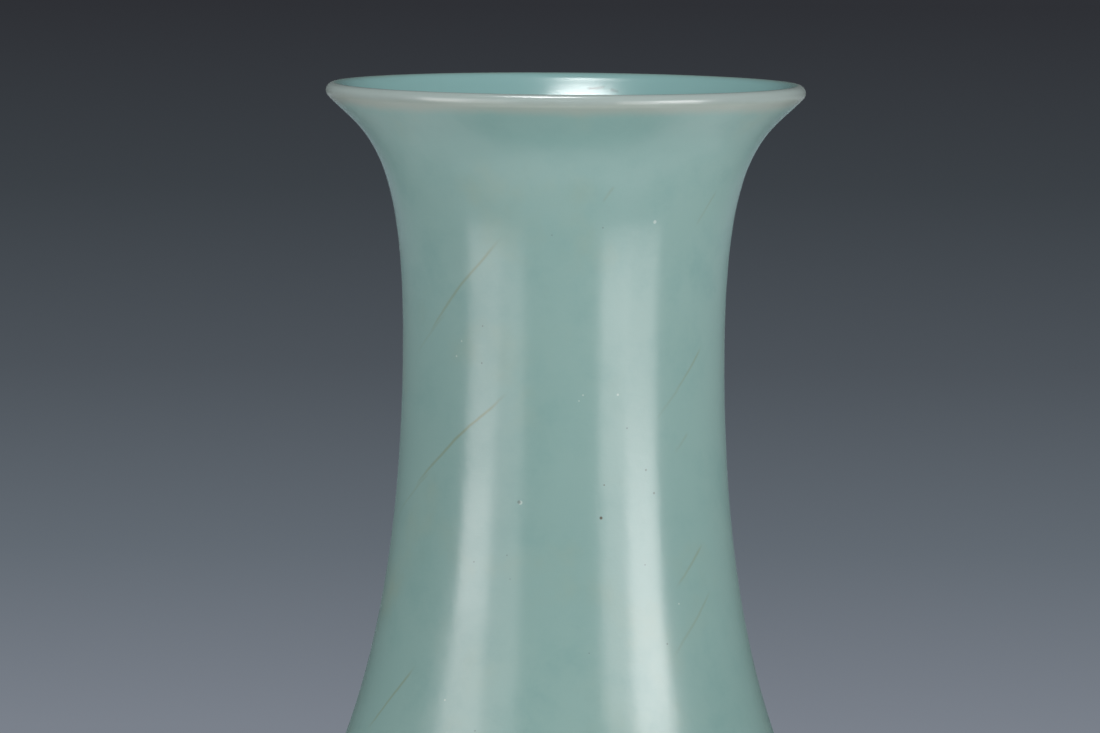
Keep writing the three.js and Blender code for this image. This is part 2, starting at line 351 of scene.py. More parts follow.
class Nodes:
    """A short way to write a node tree."""

    def __init__(self, tree):
        self.tree = tree

    def add(self, kind, **settings):
        node = self.tree.nodes.new(kind)
        for key, value in settings.items():
            setattr(node, key, value)
        return node

    def put(self, socket, value):
        """Links another socket to this one, or sets a number or a colour on it."""
        if isinstance(value, bpy.types.NodeSocket):
            self.tree.links.new(value, socket)
        elif isinstance(value, (tuple, list)) and len(value) == 3 and socket.type == "RGBA":
            socket.default_value = (*value, 1.0)
        else:
            socket.default_value = value

    def math(self, operation, a, b=0.0, c=0.0, clamp=False):
        node = self.add("ShaderNodeMath", operation=operation, use_clamp=clamp)
        for socket, value in zip(node.inputs, (a, b, c)):
            self.put(socket, value)
        return node.outputs[0]

    def ramp(self, value, low, high, start=0.0, end=1.0):
        """Smooth step of a value between two limits, from start to end."""
        node = self.add("ShaderNodeMapRange", interpolation_type="SMOOTHSTEP")
        given = {"Value": value, "From Min": low, "From Max": high, "To Min": start, "To Max": end}
        for key, setting in given.items():
            self.put(node.inputs[key], setting)
        return node.outputs["Result"]

    def mix(self, factor, a, b, blend="MIX"):
        node = self.add("ShaderNodeMix", data_type="RGBA", blend_type=blend)
        self.put(node.inputs["Factor"], factor)
        self.put(node.inputs["A"], a)
        self.put(node.inputs["B"], b)
        return node.outputs["Result"]

    def noise(self, vector, scale, detail, roughness=0.55):
        node = self.add("ShaderNodeTexNoise")
        self.put(node.inputs["Vector"], vector)
        node.inputs["Scale"].default_value = scale
        node.inputs["Detail"].default_value = detail
        node.inputs["Roughness"].default_value = roughness
        return node.outputs["Fac"]

    def voronoi(self, vector, scale):
        node = self.add("ShaderNodeTexVoronoi", feature="F1")
        self.put(node.inputs["Vector"], vector)
        node.inputs["Scale"].default_value = scale
        return node

    def bump(self, shader, height, strength, distance):
        node = self.add("ShaderNodeBump")
        node.inputs["Strength"].default_value = strength
        node.inputs["Distance"].default_value = distance
        self.put(node.inputs["Height"], height)
        self.put(shader.inputs["Normal"], node.outputs["Normal"])
        return node


def new_material(name):
    material = bpy.data.materials.new(name)
    material.use_nodes = True
    tree = material.node_tree
    tree.nodes.clear()
    nodes = Nodes(tree)
    shader = nodes.add("ShaderNodeBsdfPrincipled")
    output = nodes.add("ShaderNodeOutputMaterial")
    tree.links.new(shader.outputs[0], output.inputs[0])
    return material, nodes, shader


def surface_place(nodes):
    """Object position, its height, and its angle round the axis: 0 in front and + to the right."""
    position = nodes.add("ShaderNodeTexCoord").outputs["Object"]
    split = nodes.add("ShaderNodeSeparateXYZ")
    nodes.put(split.inputs[0], position)
    x, y, z = split.outputs
    angle = nodes.math("ARCTAN2", x, nodes.math("MULTIPLY", y, -1.0))
    return position, z, angle


# ---- Crackle and flaws in the glaze -----------------------------------------------------------
# Hairline cracks: degrees round from the front, height in mm, rise of the line in degrees,
# length in mm, strength 0 to 1, and how much of the strength is gone at the lower end.

FRONT_CRACKS = [
    (-39, 307, 46, 35, 0.8, 0.35),
    (-55, 296, 40, 17, 0.3, 0.6),
    (-41, 272, 40, 39, 1.0, 0.4),
    (-64, 259, 36, 22, 0.35, 0.6),
    (50, 288, 47, 16, 0.6, 0.3),
    (40, 281, 45, 12, 0.35, 0.6),
    (54, 325, 53, 11, 0.4, 0.3),
    (-57, 213, 49, 22, 0.8, 0.2),
    (47, 244, 43, 15, 0.6, 0.4),
    (46, 231, 43, 22, 0.45, 0.3),
    (46, 272, 44, 7, 0.35, 0.5),
    (14, 329, 56, 5, 0.35, 0.2),
]

# Fine marks on the mouth's inner wall, in the same terms as the cracks.
MOUTH_MARKS = [(171.5, 348.6, -6, 5.5, 0.9, 0.2), (166.0, 348.2, 10, 3.0, 0.6, 0.4)]

# Single flaws: degrees round from the front, height and width in mm.
IRON_SPECKS = [
    (13.1, 255.8, 1.0),
    (14.3, 263.2, 0.45),
    (-72.0, 196.0, 0.9),
    (128.0, 288.0, 0.8),
    (201.0, 176.0, 1.1),
]
PITS = [
    (-14.8, 259.2, 1.15),
    (-12.5, 351.6, 0.9),
    (12.8, 321.4, 0.5),
    (-4.2, 319.7, 0.4),
    (-29.5, 298.6, 0.55),
    (-29.8, 290.2, 0.6),
    (22.8, 275.9, 0.6),
    (29.9, 266.3, 0.7),
    (32.9, 261.0, 0.8),
    (-18.3, 247.2, 0.45),
    (-16.9, 241.9, 0.4),
    (-30.0, 245.3, 0.5),
    (28.2, 245.0, 0.5),
    (34.1, 227.1, 0.6),
    (8.4, 225.7, 0.4),
    (-23.9, 208.0, 0.5),
]
# Pale dots: white bubbles in the glaze. The first, over the pit at -14.8 degrees, is a painted
# highlight on that pinhole's rim.
BUBBLES_AND_GLINT = [
    (-14.3, 259.1, 1.25),
    (31.4, 322.5, 1.1),
    (-38.4, 294.9, 0.5),
    (-40.7, 291.4, 0.6),
    (19.4, 283.5, 0.7),
    (6.9, 283.5, 0.5),
    (5.5, 282.2, 0.45),
    (40.3, 235.8, 0.5),
    (-34.9, 214.2, 0.5),
]

# Cracks that the photograph doesn't show: how many, and the limits of each value in turn.
CRACK_SEED = 41
BACK_CRACKS = (14, [(75, 285), (150, 320), (40, 62), (9, 34), (0.3, 0.95), (0.2, 0.6)])
BELLY_CRACKS = (9, [(-180, 180), (45, 170), (35, 60), (14, 40), (0.3, 0.9), (0.2, 0.6)])

CRACK_CORE = 0.05 * MM  # half width at full strength
CRACK_EDGE = 0.55 * MM  # half width where its stain ends
CRACK_TAPER = 0.55  # share of the half length at which its ends begin to fade
CRACK_LOWER_PART = (-1.0, 0.6)  # shares of the half length between which the loss runs out
WAVER = 1.1 * MM  # how far a crack wanders off its straight line, end to end
WAVER_NOISE = (90.0, 3.0)

# Flaws at random places: cells in a metre, share of the cells with one, and greatest size.
SMALL_PITS = (75.0, 0.22, 0.5 * MM)
SMALL_BUBBLES = (110.0, 0.12, 0.4 * MM)
SMALL_IRON = (38.0, 0.05, 0.5 * MM)
GRIT_GRAINS = (420.0, 0.2, 0.5 * MM)


def all_cracks():
    """The front's cracks, and others like them over the rest of the vase."""
    chance = random.Random(CRACK_SEED)
    cracks = list(FRONT_CRACKS)
    for count, limits in (BACK_CRACKS, BELLY_CRACKS):
        for _ in range(count):
            cracks.append(tuple(chance.uniform(*pair) for pair in limits))
    return cracks


def mask_group(name, inputs):
    """A node group with one output, Mask, and the offset across and up from a flaw's place."""
    group = bpy.data.node_groups.new(name, "ShaderNodeTree")
    for key in inputs:
        group.interface.new_socket(key, in_out="INPUT", socket_type="NodeSocketFloat")
    group.interface.new_socket("Mask", in_out="OUTPUT", socket_type="NodeSocketFloat")
    nodes = Nodes(group)
    given = nodes.add("NodeGroupInput").outputs
    turn = nodes.math("SUBTRACT", given["Angle"], given["At Angle"])
    turn = nodes.math("WRAP", turn, math.pi, -math.pi)
    across = nodes.math("MULTIPLY", turn, given["Radius"])
    up = nodes.math("SUBTRACT", given["Height"], given["At Height"])
    return group, nodes, given, across, up


def strongest(nodes, group, rows, linked):
    """The greatest of a group's masks, one for each row of fixed values."""
    mask = None
    for row in rows:
        node = nodes.add("ShaderNodeGroup", node_tree=group)
        for key, value in row.items():
            node.inputs[key].default_value = value
        for key, socket in linked.items():
            nodes.put(node.inputs[key], socket)
        one = node.outputs["Mask"]
        mask = one if mask is None else nodes.math("MAXIMUM", mask, one)
    return mask


def crack_group():
    """Node group: how strongly a point lies on one crack, from 0 to 1."""
    names = ("Angle", "Height", "Waver", "At Angle", "At Height", "Radius", "Rise")
    names = (*names, "Half Length", "Strength", "Lower Loss")
    group, nodes, given, across, up = mask_group("hairline_crack", names)
    cosine = nodes.math("COSINE", given["Rise"])
    sine = nodes.math("SINE", given["Rise"])
    along = nodes.math("MULTIPLY_ADD", across, cosine, nodes.math("MULTIPLY", up, sine))
    aside = nodes.math("MULTIPLY", across, nodes.math("MULTIPLY", sine, -1.0))
    off = nodes.math("MULTIPLY_ADD", up, cosine, aside)
    off = nodes.math("ADD", off, given["Waver"])
    share = nodes.math("DIVIDE", along, given["Half Length"])
    line = nodes.ramp(nodes.math("ABSOLUTE", off), CRACK_CORE, CRACK_EDGE, 1.0, 0.0)
    ends = nodes.ramp(nodes.math("ABSOLUTE", share), CRACK_TAPER, 1.0, 1.0, 0.0)
    low = nodes.ramp(share, *CRACK_LOWER_PART, 1.0, 0.0)
    fade = nodes.math("SUBTRACT", 1.0, nodes.math("MULTIPLY", low, given["Lower Loss"]))
    mask = nodes.math("MULTIPLY", nodes.math("MULTIPLY", line, ends), fade)
    mask = nodes.math("MULTIPLY", mask, given["Strength"])
    out = nodes.add("NodeGroupOutput")
    nodes.put(out.inputs["Mask"], mask)
    return group


def crack_mask(nodes, group, cracks, position, z, angle):
    """All cracks of one kind together."""
    waver = nodes.noise(position, *WAVER_NOISE)
    waver = nodes.math("MULTIPLY", nodes.math("SUBTRACT", waver, 0.5), WAVER)
    rows = [
        {
            "At Angle": math.radians(degrees),
            "At Height": height * MM,
            "Radius": radius_at(outer, height * MM),
            "Rise": math.radians(rise),
            "Half Length": length * MM / 2,
            "Strength": strength,
            "Lower Loss": loss,
        }
        for degrees, height, rise, length, strength, loss in cracks
    ]
    return strongest(nodes, group, rows, {"Angle": angle, "Height": z, "Waver": waver})


def dot_group():
    """Node group: 1 in the middle of one round flaw, and 0 from its edge outwards."""
    names = ("Angle", "Height", "At Angle", "At Height", "Radius", "Size")
    group, nodes, given, across, up = mask_group("round_flaw", names)
    square = nodes.math("MULTIPLY_ADD", across, across, nodes.math("MULTIPLY", up, up))
    share = nodes.math("DIVIDE", nodes.math("SQRT", square), given["Size"])
    out = nodes.add("NodeGroupOutput")
    nodes.put(out.inputs["Mask"], nodes.math("SUBTRACT", 1.0, share, clamp=True))
    return group


def dot_mask(nodes, group, dots, z, angle):
    """All round flaws of one kind together."""
    rows = [
        {
            "At Angle": math.radians(degrees),
            "At Height": height * MM,
            "Radius": radius_at(outer, height * MM),
            "Size": width * MM / 2,
        }
        for degrees, height, width in dots
    ]
    return strongest(nodes, group, rows, {"Angle": angle, "Height": z})


def scattered_dots(nodes, position, scale, share, size):
    """Small round flaws at random places: a share of the cells has one, of up to the given size."""
    cells = nodes.voronoi(position, scale)
    pick = nodes.add("ShaderNodeSeparateColor")
    nodes.put(pick.inputs[0], cells.outputs["Color"])
    present = nodes.math("LESS_THAN", pick.outputs[0], share)
    reach = nodes.math("MULTIPLY_ADD", pick.outputs[1], size * scale / 2, size * scale / 3)
    away = nodes.math("DIVIDE", cells.outputs["Distance"], reach)
    near = nodes.math("SUBTRACT", 1.0, away, clamp=True)
    return nodes.math("MULTIPLY", near, present)


# ---- Materials --------------------------------------------------------------------------------

CELADON = (0.223, 0.369, 0.346)
CELADON_PALE = (0.239, 0.382, 0.355)
CELADON_DEEP = (0.202, 0.350, 0.328)
CELADON_WARM = (0.252, 0.364, 0.308)
CELADON_INSIDE = (0.228, 0.410, 0.404)
LIP_PALE = (0.336, 0.415, 0.395)
LIP_WARM = (0.303, 0.368, 0.330)
CRACK_OLIVE = (0.205, 0.240, 0.135)
IRON_BROWN = (0.06, 0.045, 0.025)
PIT_SHADE = (0.10, 0.15, 0.14)
BUBBLE_AND_GLINT_PALE = (0.50, 0.60, 0.57)
BISCUIT = (0.62, 0.57, 0.49)
BISCUIT_WARM = (0.52, 0.42, 0.31)
FLUSH = (0.50, 0.27, 0.13)
GRIT = (0.16, 0.12, 0.09)
SLIP = (0.70, 0.68, 0.62)
SLIP_WARM = (0.66, 0.62, 0.55)

GLAZE_IOR = 1.56
GLAZE_ROUGHNESS = (0.185, 0.215)
GLAZE_RELIEF = 0.03 * MM  # height of the glaze's orange peel; the reliefs below are shares of it
GRAIN_SHARE = 0.25
LINES_SHARE = 0.3
PIT_DEPTH = 3.0
INSIDE_RELIEF = 0.3  # strength of the relief on the inner side
TURNING = (1, 1, 7)  # the turning lines' noise is flattened, so that they run round the wall
BISCUIT_BUMP = (0.35, 0.3 * MM)  # strength and height of the bare clay's relief
FOOT_BUMP = (0.6, 0.25 * MM)

# Noise: scale in 1/m, detail, and roughness where it isn't the usual one.
MOTTLE = (14.0, 3.0)
PATCHES = (70.0, 5.0, 0.65)
HAZE = (32.0, 4.0, 0.6)
ORANGE_PEEL = (420.0, 2.0, 0.5)
GLAZE_GRAIN = (1500.0, 3.0, 0.6)
TURNING_LINES = (260.0, 3.0, 0.6)
BISCUIT_GRAIN = (700.0, 4.0, 0.65)
BISCUIT_BLOTCH = (60.0, 3.0)
FOOT_GRAIN = (900.0, 4.0, 0.65)
FOOT_BLOTCH = (70.0, 4.0, 0.6)

# Bands round the mouth, in depths below the crest of the lip.
UNDERLIP_SHADE_START, UNDERLIP_SHADE_FULL = 17 * MM, 13 * MM  # painted shade: a darker band under the lip, standing in for the dim reflection there
UNDERLIP_SHADE_EASING, UNDERLIP_SHADE_END = 10 * MM, 7 * MM
UNDERLIP_SHADE_STRENGTH = 0.4
WARM_START, WARM_FULL = 5.6 * MM, 3.0 * MM  # thinner glaze at the lip's lower edge
LIP_START, LIP_FULL = 2.6 * MM, 1.2 * MM  # and the pale lip itself
EDGE_WANDER = 3.0 * MM  # how unevenly the last two bands lie

# The orange flush on the foot: heights where it starts and is full, and how unevenly it lies.
FLUSH_START, FLUSH_FULL = 0.8 * MM, 3.0 * MM
FLUSH_WANDER = 4 * MM


def outwards(nodes, position):
    """How far the surface faces away from the axis: 1 on the outside wall, -1 on the inside."""
    normal = nodes.add("ShaderNodeNewGeometry").outputs["Normal"]
    level = nodes.add("ShaderNodeVectorMath", operation="MULTIPLY")
    nodes.put(level.inputs[0], position)
    level.inputs[1].default_value = (1, 1, 0)
    away = nodes.add("ShaderNodeVectorMath", operation="NORMALIZE")
    nodes.put(away.inputs[0], level.outputs[0])
    dot = nodes.add("ShaderNodeVectorMath", operation="DOT_PRODUCT")
    nodes.put(dot.inputs[0], normal)
    nodes.put(dot.inputs[1], away.outputs[0])
    return dot.outputs["Value"]


def glaze_material(name, coat=True):
    """Celadon glaze: the coat of the whole vase, or the patch in the foot's recess."""
    material, nodes, shader = new_material(name)
    position, z, angle = surface_place(nodes)
    slow = nodes.noise(position, *MOTTLE)
    patch = nodes.noise(position, *PATCHES)
    haze = nodes.noise(position, *HAZE)
    colour = nodes.mix(nodes.ramp(slow, 0.35, 0.65), CELADON_PALE, CELADON)
    colour = nodes.mix(nodes.ramp(patch, 0.42, 0.8), colour, CELADON_DEEP)
    colour = nodes.mix(nodes.ramp(haze, 0.52, 0.75, 0.0, 0.7), colour, CELADON_WARM)
    shader.inputs["IOR"].default_value = GLAZE_IOR
    peel = nodes.noise(position, *ORANGE_PEEL)
    grain = nodes.noise(position, *GLAZE_GRAIN)
    nodes.put(shader.inputs["Roughness"], nodes.ramp(patch, 0.3, 0.7, *GLAZE_ROUGHNESS))
    relief = nodes.math("MULTIPLY_ADD", grain, GRAIN_SHARE, peel)
    flattened = nodes.add("ShaderNodeVectorMath", operation="MULTIPLY")
    nodes.put(flattened.inputs[0], position)
    flattened.inputs[1].default_value = TURNING
    lines = nodes.noise(flattened.outputs[0], *TURNING_LINES)
    relief = nodes.math("MULTIPLY_ADD", lines, LINES_SHARE, relief)
    small_pits = scattered_dots(nodes, position, *SMALL_PITS)
    relief = nodes.math("SUBTRACT", relief, nodes.math("MULTIPLY", small_pits, PIT_DEPTH))
    if coat:
        facing = outwards(nodes, position)
        colour = nodes.mix(nodes.ramp(facing, -0.1, -0.5), colour, CELADON_INSIDE)
        outer_side = nodes.ramp(facing, -0.5, -0.1)
        # Painted shade: the glaze is darkened in a band under the lip, in place of the dim reflection
        # seen there.
        underlip_shade = nodes.math(
            "MULTIPLY",
            nodes.ramp(z, HEIGHT - UNDERLIP_SHADE_START, HEIGHT - UNDERLIP_SHADE_FULL),
            nodes.ramp(z, HEIGHT - UNDERLIP_SHADE_EASING, HEIGHT - UNDERLIP_SHADE_END, 1.0, 0.0),
        )
        colour = nodes.mix(nodes.math("MULTIPLY", underlip_shade, UNDERLIP_SHADE_STRENGTH), colour, CELADON_DEEP)
        colour = flaws(nodes, position, z, angle, outer_side, colour)
        uneven = nodes.math("MULTIPLY", nodes.math("SUBTRACT", haze, 0.5), EDGE_WANDER)
        edge = nodes.math("ADD", z, uneven)
        lip_side = nodes.ramp(facing, -0.15, 0.3)
        warm = nodes.ramp(edge, HEIGHT - WARM_START, HEIGHT - WARM_FULL)
        lip = nodes.ramp(edge, HEIGHT - LIP_START, HEIGHT - LIP_FULL)
        colour = nodes.mix(nodes.math("MULTIPLY", warm, lip_side), colour, LIP_WARM)
        colour = nodes.mix(nodes.math("MULTIPLY", lip, lip_side), colour, LIP_PALE)
    nodes.put(shader.inputs["Base Color"], colour)
    bump = nodes.bump(shader, relief, 1.0, GLAZE_RELIEF)
    if coat:
        nodes.put(bump.inputs["Strength"], nodes.ramp(outer_side, 0.0, 1.0, INSIDE_RELIEF, 1.0))
    return material


def flaws(nodes, position, z, angle, outer_side, colour):
    """Adds the cracks, iron specks, pits, bubbles and one pinhole's painted highlight to the glaze's
    colour.
    """
    hairline = crack_group()
    crack = crack_mask(nodes, hairline, all_cracks(), position, z, angle)
    crack = nodes.math("MULTIPLY", crack, outer_side)
    mark = crack_mask(nodes, hairline, MOUTH_MARKS, position, z, angle)
    mark = nodes.math("MULTIPLY", mark, nodes.math("SUBTRACT", 1.0, outer_side))
    colour = nodes.mix(nodes.math("MULTIPLY", crack, 0.6), colour, CRACK_OLIVE)
    colour = nodes.mix(nodes.math("MULTIPLY", mark, 0.8), colour, PIT_SHADE)
    group = dot_group()
    pit = nodes.math("MULTIPLY", dot_mask(nodes, group, PITS, z, angle), outer_side)
    pit = nodes.math("MAXIMUM", pit, scattered_dots(nodes, position, *SMALL_PITS))
    bubble_and_glint = nodes.math("MULTIPLY", dot_mask(nodes, group, BUBBLES_AND_GLINT, z, angle), outer_side)
    bubble_and_glint = nodes.math("MAXIMUM", bubble_and_glint, scattered_dots(nodes, position, *SMALL_BUBBLES))
    iron = nodes.math("MULTIPLY", dot_mask(nodes, group, IRON_SPECKS, z, angle), outer_side)
    iron = nodes.math("MAXIMUM", iron, scattered_dots(nodes, position, *SMALL_IRON))
    # Pale dots: bubbles, and a painted highlight on one pinhole's rim.
    colour = nodes.mix(nodes.ramp(bubble_and_glint, 0.05, 0.5, 0.0, 0.7), colour, BUBBLE_AND_GLINT_PALE)
    colour = nodes.mix(nodes.ramp(pit, 0.1, 0.6, 0.0, 0.75), colour, PIT_SHADE)
    colour = nodes.mix(nodes.ramp(iron, 0.05, 0.6, 0.0, 0.95), colour, IRON_BROWN)
    return colour


def combine_grey(nodes, value):
    node = nodes.add("ShaderNodeCombineColor")
    for socket in node.inputs:
        nodes.put(socket, value)
    return node.outputs[0]


def biscuit_material(name, colour, warm):
    """Unglazed clay under the glaze, or the slip in its seams: matte, blotched and grainy."""
    material, nodes, shader = new_material(name)
    position, _, _ = surface_place(nodes)
    grain = nodes.noise(position, *BISCUIT_GRAIN)
    blotch = nodes.noise(position, *BISCUIT_BLOTCH)
    mixed = nodes.mix(nodes.ramp(blotch, 0.35, 0.7), colour, warm)
    shade = combine_grey(nodes, nodes.ramp(grain, 0.25, 0.75, 0.9, 1.05))
    mixed = nodes.mix(1.0, mixed, shade, "MULTIPLY")
    nodes.put(shader.inputs["Base Color"], mixed)
    nodes.put(shader.inputs["Roughness"], nodes.ramp(grain, 0.2, 0.8, 0.7, 0.92))
    nodes.bump(shader, grain, *BISCUIT_BUMP)
    return material


# ---- The pieces -------------------------------------------------------------------------------


def glaze_coat():
    """Outside, lip and inside as one closed coat, with its back against the porcelain."""
    face_out = outer[outer[:, 1] > GLAZE_LINE]
    edge = np.clip((face_out[:, 1] - GLAZE_LINE) / GLAZE_EDGE_RUN, 0, 1)
    edge_depth = OUTER_GLAZE * (1 - np.sqrt(1 - (1 - edge) ** 2))
    front = np.vstack([layer(face_out, edge_depth)[::-1], soft_lip(inner)])
    back_out = layer(coarse_out, glaze_at(coarse_out[:, 1], OUTER_GLAZE))
    back_in = layer(coarse_in, glaze_at(coarse_in[:, 1], INNER_GLAZE))
    back = np.vstack([
        back_in[::-1],
        lip_arc(LIP_THICKNESS / 2 - LIP_GLAZE)[::-1],
        stretch(back_out, bottom=GLAZE_LINE),
    ])
    return turned("celadon_glaze_coat", np.vstack([front, back]))


glaze = glaze_coat()
place(glaze, glaze_material("celadon_glaze"), "outer_glaze", "outer_glaze", "lip_glaze", "inner_glaze")


def section(name, top=None, bottom=None):
    """A thrown section between two heights, or up to the lip, or down to the floor."""
    parts = [stretch(body_out, top, FOOT_HEIGHT if bottom is None else bottom)[::-1]]
    if top is None:
        parts.append(lip_arc(LIP_THICKNESS / 2 - LIP_GLAZE - BOND_GAP))
    if bottom is None:
        parts.insert(0, [[0, FOOT_HEIGHT]])
    parts.append(stretch(body_in, top, bottom))
    return turned(name, np.vstack(parts), around=AROUND_HIDDEN)


def wall_slip(name, box):
    """A thin ring of slip through the wall between the two heights of a box."""
    low, high = box[0].z, box[1].z
    corners = ((body_in, low), (body_out, low), (body_out, high), (body_in, high))
    loop = [(radius_at(line, z), z) for line, z in corners]
    return turned(name, loop, around=AROUND_HIDDEN)


foot_out = layer(outer, glaze_at(outer[:, 1], OUTER_GLAZE) + BOND_GAP)
toe_edge = foot_out[-1]
land_outer = toe_edge[0] - TOE_ROUND
land_inner = land_outer - LAND_WIDTH


def foot_inner(z, inset=0.0):
    """A point on the foot ring's inner wall, a plain cone, or a little way in from it."""
    bottom = land_inner - LAND_CHAMFER
    top = FOOT_NECK_RADIUS - FOOT_WALL + BASE_GLAZE + BOND_GAP
    share = (z - LAND_CHAMFER) / (FOOT_HEIGHT - LAND_CHAMFER)
    return np.array([mix(bottom, top, share) - inset, z])


def rounded(start, corner, end, steps):
    """A quadratic curve that rounds off a corner."""
    t = np.linspace(0, 1, steps + 1)[:, None]
    start, corner, end = (np.asarray(p, float) for p in (start, corner, end))
    return start * (1 - t) ** 2 + 2 * corner * (1 - t) * t + end * t**2


def foot_piece():
    """The foot ring: splayed outside, a rounded toe, the flat that it stands on, and a cone inside."""
    wall = stretch(foot_out, top=FOOT_TOP)
    toe_round = rounded(toe_edge, (toe_edge[0], 0), (land_outer, 0), CORNER_STEPS)
    chamfer_corner = (land_inner - LAND_CHAMFER / 2, 0)
    chamfer = rounded((land_inner, 0), chamfer_corner, foot_inner(LAND_CHAMFER), EDGE_STEPS)
    line = np.vstack([wall, toe_round[1:], chamfer, [foot_inner(FOOT_TOP)]])
    return turned("foot_ring_biscuit", line[::-1])


def foot_slip():
    low, high = FOOT_SEAM[0].z, FOOT_SEAM[1].z
    loop = [foot_inner(low), *((radius_at(foot_out, z), z) for z in (low, high)), foot_inner(high)]
    return turned("foot_slip", loop, around=AROUND_HIDDEN)


def recess_glaze():
    """Glaze over the underside of the base and down the foot's inner wall, rounded at its edge."""
    back = FOOT_HEIGHT - BOND_GAP
    face = back - BASE_GLAZE
    inset = BASE_GLAZE + BOND_GAP
    fillet = rounded(
        foot_inner(face - RECESS_FILLET, inset),
        foot_inner(face, inset),
        foot_inner(face, inset + RECESS_FILLET),
        CORNER_STEPS,
    )
    bead = rounded(
        foot_inner(GLAZE_LINE, BOND_GAP),
        foot_inner(GLAZE_LINE, inset),
        foot_inner(GLAZE_LINE + GLAZE_EDGE_RUN, inset),
        EDGE_STEPS,
    )
    rings = [[r, face] for r in np.linspace(fillet[-1, 0], 0, CORNER_STEPS)[1:]]
    line = np.vstack([[[0, back]], [foot_inner(back, BOND_GAP)], bead, fillet, rings])
    return turned("recess_glaze", line[::-1])


def foot_material():
    """Bare fired clay: iron-flushed next to the glaze, pale and gritty on the flat it stands on."""
    material, nodes, shader = new_material("foot_biscuit")
    position, z, _ = surface_place(nodes)
    grain = nodes.noise(position, *FOOT_GRAIN)
    blotch = nodes.noise(position, *FOOT_BLOTCH)
    colour = nodes.mix(nodes.ramp(blotch, 0.35, 0.7), BISCUIT, BISCUIT_WARM)
    edge = nodes.math("MULTIPLY_ADD", nodes.math("SUBTRACT", blotch, 0.5), FLUSH_WANDER, z)
    colour = nodes.mix(nodes.ramp(edge, FLUSH_START, FLUSH_FULL, 0.0, 0.85), colour, FLUSH)
    shade = combine_grey(nodes, nodes.ramp(grain, 0.25, 0.75, 0.82, 1.06))
    colour = nodes.mix(1.0, colour, shade, "MULTIPLY")
    grit = scattered_dots(nodes, position, *GRIT_GRAINS)
    colour = nodes.mix(nodes.ramp(grit, 0.1, 0.6, 0.0, 0.8), colour, GRIT)
    nodes.put(shader.inputs["Base Color"], colour)
    nodes.put(shader.inputs["Roughness"], nodes.ramp(grain, 0.2, 0.8, 0.68, 0.92))
    nodes.bump(shader, nodes.math("ADD", grain, grit), *FOOT_BUMP)
    return material


biscuit = biscuit_material("porcelain_biscuit", BISCUIT, BISCUIT_WARM)
neck_low, shoulder_high = NECK_SEAM[1].z + BOND_GAP, NECK_SEAM[0].z - BOND_GAP
shoulder_low, lower_high = BELLY_SEAM[1].z + BOND_GAP, BELLY_SEAM[0].z - BOND_GAP
place(section("neck_biscuit", bottom=neck_low), biscuit, "porcelain_body", "neck_section")
shoulder = section("shoulder_biscuit", top=shoulder_high, bottom=shoulder_low)
place(shoulder, biscuit, "porcelain_body", "shoulder_section")
place(section("lower_body_biscuit", top=lower_high), biscuit, "porcelain_body", "lower_body_section")
place(foot_piece(), foot_material(), "foot_biscuit", "foot_ring")
slip = biscuit_material("luting_slip", SLIP, SLIP_WARM)
place(wall_slip("neck_slip", NECK_SEAM), slip, "luting_slip", "neck_seam_slip")
place(wall_slip("belly_slip", BELLY_SEAM), slip, "luting_slip", "belly_seam_slip")
place(foot_slip(), slip, "luting_slip", "foot_seam_slip")
place(recess_glaze(), glaze_material("recess_celadon", coat=False), "base_glaze", "base_glaze")

# ---- Studio -----------------------------------------------------------------------------------

CAMERA_DISTANCE = 1.9
CAMERA_ELEVATION = math.radians(2.8)  # above the lip's centre
VIEW_WIDTH = 0.2521  # across the frame at the vase
AIM_DROP = 63.3 * MM  # from the lip down to the middle of the view
AIM_LEFT = 3.1 * MM
ROLL = math.radians(0.45)
SENSOR = 36.0
CLIP = (0.05, 60.0)

NECK_MIDDLE = HEIGHT - 90 * MM
PANEL_DISTANCE = 2.5
PANEL_COLOUR = (1.05, 1, 1)
PANELS = [
    # name, azimuth, width, low, high, radiance
    ("left_high", -61, 24, 11, 32, 2.8),
    ("left_middle", -60, 22, 0, 11, 4.2),
    ("left_low", -58, 22, -18, 0, 1.85),
    ("left_inner", -38, 22, -18, 34, 1.3),
    ("left_outer", -78, 12, 7, 32, 0.6),
    ("right_high", 57, 23, 11, 26, 6.1),
    ("right_middle", 57, 23, 0, 11, 5.4),
    ("right_low", 57, 24, -18, 0, 2.0),
    ("right_inner", 36, 20, -18, 26, 2.35),
    ("right_outer", 74, 10, 8, 32, 0.5),
]
OVERHEAD_CLEAR = 1.1  # from the lip up to the round softbox
CARD_HEIGHT = 0.004
CARDS = [
    # name, two corners (x, y), radiance
    ("front_card", (-0.42, -0.42), (0.42, -0.165), 0.36),
    ("left_card", (-0.42, -0.16), (-0.165, 0.25), 0.22),
    ("right_card", (0.165, -0.16), (0.42, 0.25), 0.32),
    ("back_card", (-0.13, 0.2), (0.13, 0.6), 1.2),
]
BACKGROUND = [
    # elevation in degrees, colour
    (-18, (0.060, 0.066, 0.076)),
    (-8.5, (0.205, 0.228, 0.268)),
    (-7.2, (0.196, 0.219, 0.258)),
    (-5.95, (0.122, 0.144, 0.170)),
    (-4.7, (0.074, 0.087, 0.103)),
    (-3.45, (0.044, 0.052, 0.061)),
    (-2.2, (0.028, 0.030, 0.036)),
]
FLOOR_RADIUS = 1.2
FLOOR_STEPS = 96
FLOOR_FADE = (0.45, 1.1)  # distances between which it fades out
FLOOR_COLOUR = (0.7, 0.71, 0.72)


